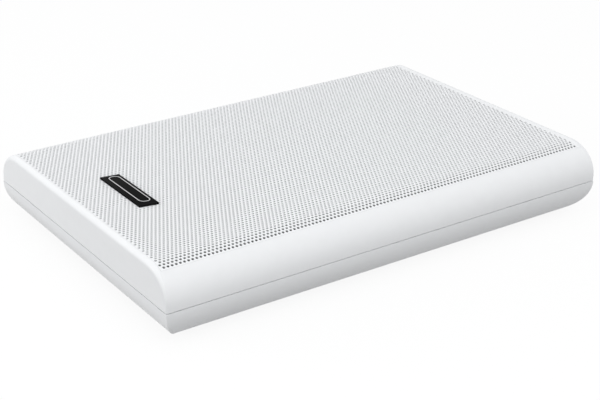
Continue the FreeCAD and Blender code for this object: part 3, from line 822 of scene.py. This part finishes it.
def make_terminal(material):
    low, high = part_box("terminal_block")
    middle = (low + high) / 2
    half = (high - low) / 2

    def ring(inset, z):
        outline = rounded_outline(half.x - inset, half.y - inset, BLOCK_CORNER)
        return level(outline, z, middle.x, middle.y)

    rings = []
    for step in range(ARC_STEPS + 1):
        turn = math.pi / 2 * step / ARC_STEPS
        rings.append(ring(BLOCK_BEVEL * (1 - math.sin(turn)), low.z + BLOCK_BEVEL * (1 - math.cos(turn))))
    rings.append(ring(0, high.z))
    block = make_object("terminal_block_body", *stacked(rings), material)
    for vertices, faces in terminal_cuts(low, high):
        carve(block, vertices, faces)
    smooth(block, PIECE_ANGLE)
    stand_for(block, "terminal_block")


def make_marks(material):
    """A raised plus and minus on the terminal."""
    low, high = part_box("terminal_block")
    middle = (low + high) / 2
    marks = (
        ("plus_mark", MARK_X, cross_outline(MARK_REACH, MARK_HALF_WIDTH)),
        ("minus_mark", -MARK_X, bar_outline(MARK_REACH, MARK_HALF_WIDTH)),
    )
    for name, x, outline in marks:
        rings = [level(outline, low.z - MARK_HEIGHT, x, middle.y), level(outline, low.z + FIT, x, middle.y)]
        mark = make_object(name, *stacked(rings), material)
        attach(mark, "case")


# Driver

def node_radius(node):
    low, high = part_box(node)
    return (high.x - low.x) / 2


def cone_profile():
    """Straight cone with pressed ribs, and a flat land under the surround."""
    low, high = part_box("cone")
    neck = low.z + PAPER
    rim = CONE_RADIUS - CONE_LAND
    slope = (high.z - neck) / (rim - COIL_INNER)
    line = [(COIL_INNER, neck)]
    for middle in CONE_RIBS:
        for step in range(-RIB_STEPS, RIB_STEPS + 1):
            radius = middle + RIB_HALF_WIDTH * step / RIB_STEPS
            rise = RIB_HEIGHT * (1 + math.cos(math.pi * step / RIB_STEPS)) / 2
            line.append((radius, neck + (radius - COIL_INNER) * slope + rise))
    return skin(line + [(rim, high.z), (CONE_RADIUS, high.z)], PAPER)


def whizzer_profile():
    low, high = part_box("whizzer_cone")
    inner, outer = COIL_INNER + 2 * PAPER, node_radius("whizzer_cone")
    rise = high.z - low.z - PAPER
    line = []
    for step in range(CURVE_STEPS + 1):
        share = step / CURVE_STEPS
        line.append((inner + (outer - inner) * share ** WHIZZER_FLARE, low.z + PAPER + rise * share))
    return skin(line, PAPER)


def cap_profile():
    low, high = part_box("dust_cap")
    radius = node_radius("dust_cap")
    rise = high.z - low.z - PAPER
    shares = [step / CURVE_STEPS for step in range(CURVE_STEPS + 1)]
    return skin([(radius * share, high.z - rise * share ** 2) for share in shares], PAPER)


def surround_profile():
    """Flat lands and a half-round roll between them."""
    low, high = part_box("surround")
    flat = low.z + RUBBER
    middle = (CONE_RADIUS + ROLL_OUTER) / 2
    half = (ROLL_OUTER - CONE_RADIUS) / 2
    line = [(CONE_RADIUS - CONE_LAND, flat)]
    for step in range(ROLL_STEPS + 1):
        turn = math.pi * (1 - step / ROLL_STEPS)
        line.append((middle + half * math.cos(turn), flat + (high.z - flat) * math.sin(turn)))
    return skin(line + [(node_radius("surround"), flat)], RUBBER)


def spider_profile():
    """Rings of waves, and a flat land that is glued to the frame."""
    low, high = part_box("spider")
    flat = (low.z + high.z + SPIDER_SHEET) / 2
    wave = (high.z - flat) * SPIDER_WAVE_SHARE
    inner = COIL_INNER + PAPER + FIT
    steps = ROLL_STEPS * SPIDER_WAVES
    line = []
    for step in range(steps + 1):
        share = step / steps
        fade = min(1, SPIDER_FADE * share, SPIDER_FADE * (1 - share))
        height = flat + wave * fade * math.sin(2 * math.pi * SPIDER_WAVES * share)
        line.append((inner + (SPIDER_LAND - inner) * share, height))
    return skin(line + [(node_radius("spider"), flat)], SPIDER_SHEET)


def winding_profile():
    """Wire wound on the coil's former, one bulge for each turn."""
    low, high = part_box("voice_coil")
    inner, outer = COIL_INNER + FORMER, node_radius("voice_coil")
    foot = low.z + WINDING_FOOT
    line = [(inner, foot)]
    for number in range(WINDING_TURNS):
        for share, reach in WINDING_SHAPE:
            line.append((inner + (outer - inner) * reach, foot + WINDING_PITCH * (number + share)))
    return line + [(inner, foot + WINDING_PITCH * WINDING_TURNS)]


def back_plate_profile():
    low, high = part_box("back_plate")
    radius = node_radius("back_plate")
    face = low.z + BACK_PLATE
    bevel = PLATE_BEVEL
    return [
        (0, low.z), (radius - bevel, low.z), (radius, low.z + bevel),
        (radius, face - bevel), (radius - bevel, face), (POLE_RADIUS, face),
        (POLE_RADIUS, high.z - bevel), (POLE_RADIUS - bevel, high.z), (0, high.z),
    ]


def plate_profile(node, bore, bevel):
    """A flat ring whose outer edges are bevelled."""
    low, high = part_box(node)
    radius = node_radius(node)
    return [
        (bore, low.z), (radius - bevel, low.z), (radius, low.z + bevel),
        (radius, high.z - bevel), (radius - bevel, high.z), (bore, high.z),
    ]


def bend_inwards(piece):
    """Bakes the piece's place into its points."""
    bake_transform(piece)


def make_soft_rings(paint):
    """The surround and the spider, as turned solids between the case and the diaphragm."""
    rings = (
        ("surround_roll", "surround", surround_profile(), ROLL_OUTER, CONE_RADIUS),
        ("spider_disc", "spider", spider_profile(), SPIDER_LAND, COIL_INNER + 2 * PAPER),
    )
    for name, node, profile, outer, inner in rings:
        ring = make_object(name, *turned(profile), paint[slots[node]], ROLL_ANGLE)
        bend_inwards(ring)
        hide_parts(node)


def make_driver(paint):
    """The driver's rigid round pieces."""
    low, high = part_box("voice_coil")
    wall = COIL_INNER + FORMER
    former = [(COIL_INNER, low.z), (wall, low.z), (wall, high.z), (COIL_INNER, high.z)]
    gasket = plate_profile("driver_gasket", GASKET_INNER, FIT)
    top_plate = plate_profile("top_plate", PLATE_BORE, PLATE_BEVEL)
    magnet = plate_profile("magnet", MAGNET_BORE, MAGNET_BEVEL)
    pieces = (
        ("coil_former", "voice_coil", former, "coil_former", "diaphragm"),
        ("coil_winding", "voice_coil", winding_profile(), "copper", "diaphragm"),
        ("cone_body", "cone", cone_profile(), "cone_paper", "diaphragm"),
        ("whizzer_body", "whizzer_cone", whizzer_profile(), "cone_paper", "diaphragm"),
        ("dust_cap_dome", "dust_cap", cap_profile(), "cap_cloth", "diaphragm"),
        ("gasket_ring", "driver_gasket", gasket, "gasket_rubber", "case"),
        ("top_plate_ring", "top_plate", top_plate, "plate_steel", "case"),
        ("magnet_ring", "magnet", magnet, "ferrite", "case"),
        ("back_plate_body", "back_plate", back_plate_profile(), "plate_steel", "case"),
    )
    for name, node, profile, colour, body in pieces:
        piece = make_object(name, *turned(profile), paint[colour], PIECE_ANGLE)
        stand_for(piece, node, body)


# Leads and wires

def round_wire(name, route, radius, material):
    """Closed round wire along a smooth line through the space of a route's points."""
    curve = bpy.data.curves.new(name, "CURVE")
    curve.dimensions = "3D"
    spline = curve.splines.new("NURBS")
    spline.points.add(len(route) - 1)
    for point, place in zip(spline.points, route):
        point.co = (*place, 1)
    spline.order_u = 3
    spline.use_endpoint_u = True
    spline.resolution_u = WIRE_STEPS
    curve.bevel_depth = radius
    curve.bevel_resolution = WIRE_ROUNDNESS
    curve.use_fill_caps = True
    holder = bpy.data.objects.new(name, curve)
    bpy.context.scene.collection.objects.link(holder)
    bpy.context.view_layer.update()
    graph = bpy.context.evaluated_depsgraph_get()
    mesh = bpy.data.meshes.new_from_object(holder.evaluated_get(graph))
    bpy.data.objects.remove(holder)
    welded = bmesh.new()
    welded.from_mesh(mesh)
    bmesh.ops.remove_doubles(welded, verts=welded.verts, dist=radius * WIRE_WELD)
    bmesh.ops.recalc_face_normals(welded, faces=welded.faces)
    welded.to_mesh(mesh)
    welded.free()
    mesh.materials.clear()
    mesh.materials.append(material)
    piece = bpy.data.objects.new(name, mesh)
    bpy.context.scene.collection.objects.link(piece)
    smooth(piece, ROUND_ANGLE)
    return piece


def make_leads(material):
    low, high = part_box("tinsel_leads")
    run_z = low.z + LEAD_RADIUS
    cone_y = high.y - LEAD_RADIUS
    for name, x in (("lead_left", low.x + LEAD_RADIUS), ("lead_right", high.x - LEAD_RADIUS)):
        route = [(x, cone_y, high.z - LEAD_RADIUS), (x, cone_y, run_z), (x, low.y, run_z)]
        lead = round_wire(name, route, LEAD_ROUND, material)
        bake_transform(lead)
        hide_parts("tinsel_leads")


def make_wires(paint):
    """Hook-up wires from the terminal's lugs to the solder tags, with a slack bend on the way."""
    for node, side in (("wire_positive", 1), ("wire_negative", -1)):
        low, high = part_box(node)
        z = (low.z + high.z) / 2
        end_x = low.x if side > 0 else high.x
        tag_x = end_x + side * WIRE_RADIUS
        lug_x = side * CLAMP_X
        route = [
            (lug_x, low.y, z), (lug_x, low.y + WIRE_LEAD, z),
            (lug_x + side * WIRE_SPREAD, (low.y + high.y) / 2, z),
            (tag_x, high.y - WIRE_LEAD, z), (tag_x, high.y, z),
        ]
        wire = round_wire(node + "_round", route, WIRE_RADIUS, paint[slots[node]])
        stand_for(wire, node)


# Studio

def make_camera():
    data = bpy.data.cameras.new("camera")
    data.lens = CAMERA_LENS
    data.shift_x = CAMERA_SHIFT_X
    data.shift_y = CAMERA_SHIFT_Y
    data.clip_start = CAMERA_CLIP
    camera = bpy.data.objects.new("camera", data)
    bpy.context.scene.collection.objects.link(camera)
    columns = (Vector(CAMERA_RIGHT), -Vector(CAMERA_DOWN), -Vector(CAMERA_FORWARD))
    turn = Matrix(columns).transposed()
    camera.matrix_world = Matrix.Translation(CAMERA_PLACE) @ turn.to_4x4()
    bpy.context.scene.camera = camera


def seen_directly(tree):
    """1 for rays from the camera, or by way of a mirror or glass, and 0 for the light of other surfaces."""
    path = tree.nodes.new("ShaderNodeLightPath")
    seen = path.outputs["Is Camera Ray"]
    for kind in ("Is Glossy Ray", "Is Transmission Ray"):
        either = tree.nodes.new("ShaderNodeMath")
        either.operation = "MAXIMUM"
        tree.links.new(seen, either.inputs[0])
        tree.links.new(path.outputs[kind], either.inputs[1])
        seen = either.outputs["Value"]
    return seen


def mixed(tree, factor, first, second):
    mix = tree.nodes.new("ShaderNodeMixShader")
    if isinstance(factor, float):
        mix.inputs["Fac"].default_value = factor
    else:
        tree.links.new(factor, mix.inputs["Fac"])
    tree.links.new(first, mix.inputs[1])
    tree.links.new(second, mix.inputs[2])
    return mix.outputs["Shader"]


def make_floor():
    """Grey paper, which the camera sees as white paper with the object's shadow."""
    corners = [(x * FLOOR_HALF, y * FLOOR_HALF, 0) for x, y in ((-1, -1), (1, -1), (1, 1), (-1, 1))]
    material, tree, shader = new_material("floor_paper")
    fibre = noise(tree, FLOOR_FIBRE)
    colours = ramp(tree, fibre, shade(FLOOR_COLOUR, FLOOR_SHADE), FLOOR_COLOUR)
    tree.links.new(colours, shader.inputs["Base Color"])
    shader.inputs["Roughness"].default_value = FLOOR_ROUGHNESS
    lit = tree.nodes.new("ShaderNodeBsdfDiffuse")
    lit.inputs["Color"].default_value = (*PAPER_COLOUR, 1)
    white = tree.nodes.new("ShaderNodeEmission")
    white.inputs["Strength"].default_value = 1.0
    paper = mixed(tree, PAPER_GLOW, lit.outputs["BSDF"], white.outputs["Emission"])
    shown = mixed(tree, seen_directly(tree), shader.outputs["BSDF"], paper)
    tree.links.new(shown, tree.nodes["Material Output"].inputs["Surface"])
    floor = make_object("floor", corners, [[0, 1, 2, 3]], material)


def make_world():
    world = bpy.data.worlds.new("studio")
    bpy.context.scene.world = world
    world.use_nodes = True
    tree = world.node_tree
    sky = tree.nodes["Background"]
    sky.inputs["Color"].default_value = (*SKY, 1)
    sky.inputs["Strength"].default_value = SKY_STRENGTH
    white = tree.nodes.new("ShaderNodeBackground")
    white.inputs["Color"].default_value = (1, 1, 1, 1)
    white.inputs["Strength"].default_value = 1.0
    shown = mixed(tree, seen_directly(tree), sky.outputs["Background"], white.outputs["Background"])
    tree.links.new(shown, tree.nodes["World Output"].inputs["Surface"])


def softbox(name, place, aim, size, power):
    data = bpy.data.lights.new(name, "AREA")
    data.shape = "RECTANGLE"
    data.size, data.size_y = size
    data.energy = power
    lamp = bpy.data.objects.new(name, data)
    bpy.context.scene.collection.objects.link(lamp)
    lamp.location = place
    lamp.rotation_euler = (Vector(aim) - Vector(place)).to_track_quat("-Z", "Y").to_euler()


def make_lights():
    for lamp in LAMPS:
        softbox(*lamp)


def make_materials():
    """One material for each slot of the record, and for the pieces that have no slot of their own."""
    return {
        "case_plastic": mottled("white_plastic", (0.85, 0.86, 0.87), 0.42, 6000, 0.985),
        "grille_paint": mottled("white_powder_coat", (0.86, 0.87, 0.88), 0.5, 4000, 0.985),
        "grille_cloth": woven("black_acoustic_cloth", (0.02, 0.02, 0.022), 0.5 * MM),
        "badge_black": mottled("badge_black", (0.005, 0.005, 0.0053), 0.5, 2500, 0.8, 0.05, specular=0.02),
        "badge_silver": brushed("badge_silver", (0.82, 0.83, 0.84), 0.4, (1, 12, 1)),
        "frame_paint": mottled("black_frame_paint", (0.04, 0.04, 0.043), 0.4, 3000, 0.85),
        "gasket_rubber": mottled("gasket_rubber", (0.04, 0.04, 0.042), 0.75, 2500, 0.8, 0.3),
        "screw_zinc": brushed("zinc_plate", (0.68, 0.69, 0.7), 0.32, (1, 1, 8)),
        "plate_steel": brushed("plated_steel", (0.58, 0.59, 0.6), 0.4, (1, 1, 6)),
        "ferrite": mottled("ferrite", (0.075, 0.075, 0.08), 0.7, 1500, 0.7, 0.4),
        "coil_former": brushed("former_aluminium", (0.75, 0.76, 0.77), 0.35, (1, 1, 10)),
        "copper": brushed("lacquered_copper", (0.72, 0.36, 0.2), 0.28, (1, 1, 20)),
        "cone_paper": mottled("cone_paper", (0.05, 0.05, 0.053), 0.9, 1200, 0.6, 0.6),
        "cap_cloth": woven("cap_cloth", (0.05, 0.05, 0.053), 0.4 * MM),
        "surround_rubber": mottled("surround_rubber", (0.03, 0.03, 0.032), 0.55, 3000, 0.85, 0.2),
        "spider_cloth": woven("spider_cloth", (0.55, 0.4, 0.18), 0.45 * MM),
        "tag_board": mottled("tag_board", (0.32, 0.2, 0.1), 0.6, 1800, 0.7, 0.3),
        "tinned_brass": brushed("tinned_brass", (0.7, 0.65, 0.52), 0.35, (8, 1, 1)),
        "tinsel": woven("tinsel_braid", (0.72, 0.42, 0.27), 0.25 * MM, 0.4, metallic=1.0),
        "terminal_plastic": mottled("black_terminal_plastic", (0.035, 0.035, 0.037), 0.45, 5000, 0.85),
        "wire_red": mottled("red_insulation", (0.55, 0.035, 0.03), 0.35, 3000, 0.9, 0.08),
        "wire_black": mottled("black_insulation", (0.02, 0.02, 0.02), 0.35, 3000, 0.85, 0.08),
    }


bpy.context.scene.view_settings.view_transform = "Standard"
paint = make_materials()
for node, slot in slots.items():
    materials = frame["nodes"][node].data.materials
    materials.clear()
    materials.append(paint[slot])

make_camera()
halves = make_grille(paint["grille_paint"])
make_cloth(paint["grille_cloth"])
make_badge(paint["badge_black"], paint["badge_silver"])
make_cross_screws("cover_screws", paint["screw_zinc"])
make_clamp_screws("terminal_screws", paint["screw_zinc"])
make_terminal(paint["terminal_plastic"])
make_marks(paint["case_plastic"])
make_driver(paint)
make_soft_rings(paint)
make_cross_screws("driver_screws", paint["screw_zinc"])
make_leads(paint["tinsel"])
make_wires(paint)
make_floor()
make_world()
make_lights()
